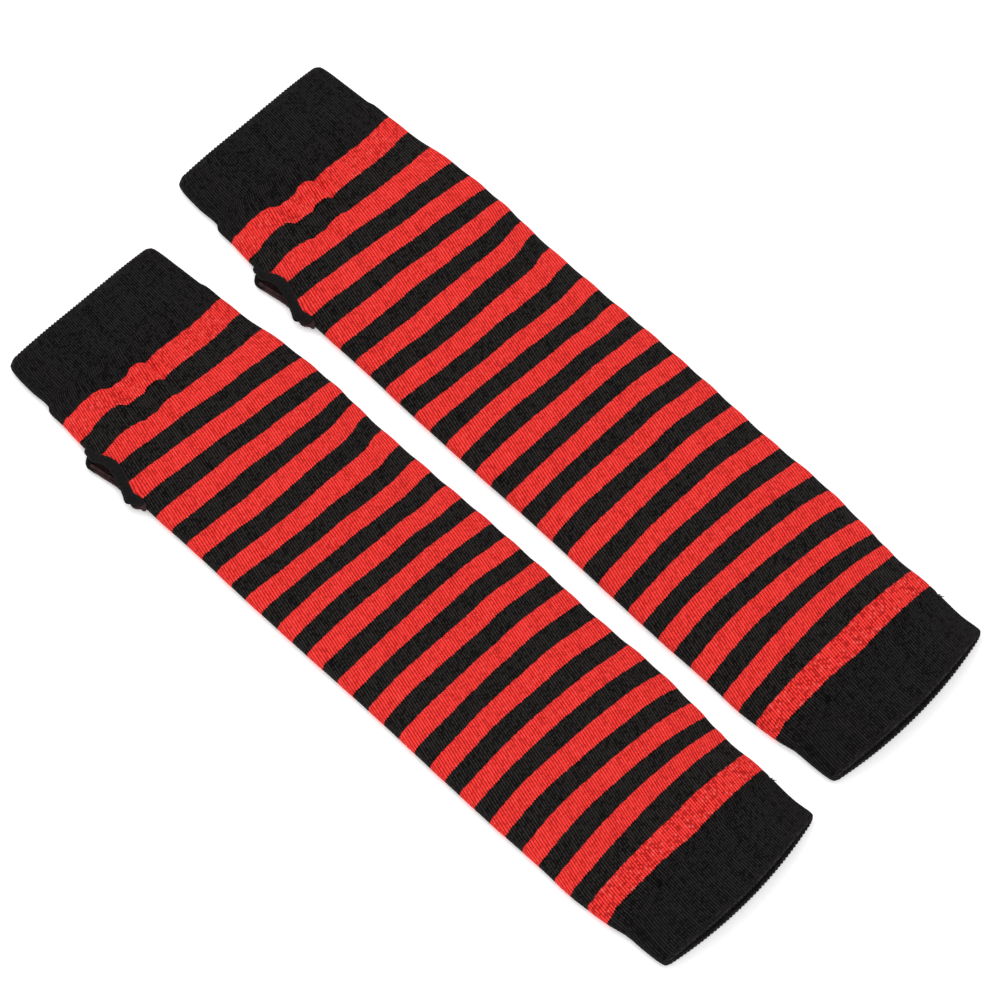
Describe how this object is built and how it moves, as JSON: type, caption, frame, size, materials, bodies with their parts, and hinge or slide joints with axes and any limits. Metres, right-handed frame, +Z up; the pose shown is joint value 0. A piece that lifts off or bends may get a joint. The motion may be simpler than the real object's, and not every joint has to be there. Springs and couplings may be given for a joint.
{
  "type": "pair of knitted arm warmers",
  "caption": "Two flattened knitted tubes laid flat side by side, each with a double-knit cuff at either end and an edged thumb hole in one long fold.",
  "frame": {"origin": "middle of the underside of the box round the pair, on the surface that it lies on", "axes": "+X along the warmers towards their arm ends, +Y from the near warmer towards the far one, away from the thumb holes, +Z up"},
  "size_m": [0.3638, 0.1892, 0.0101],
  "materials": {
    "striped_knit": "fine plain knit, matt, in red and black cross stripes",
    "black_knit": "fine ribbed double knit, matt, with a faint sheen",
    "black_yarn": "overcast yarn, matt and a little fuzzy"
  },
  "bodies": {
    "root": {"rear_tube": "striped_knit", "rear_hand_cuff": "black_knit", "rear_arm_cuff": "black_knit", "rear_thumb_edging": "black_yarn", "front_tube": "striped_knit", "front_hand_cuff": "black_knit", "front_arm_cuff": "black_knit", "front_thumb_edging": "black_yarn"}
  },
  "joints": []
}
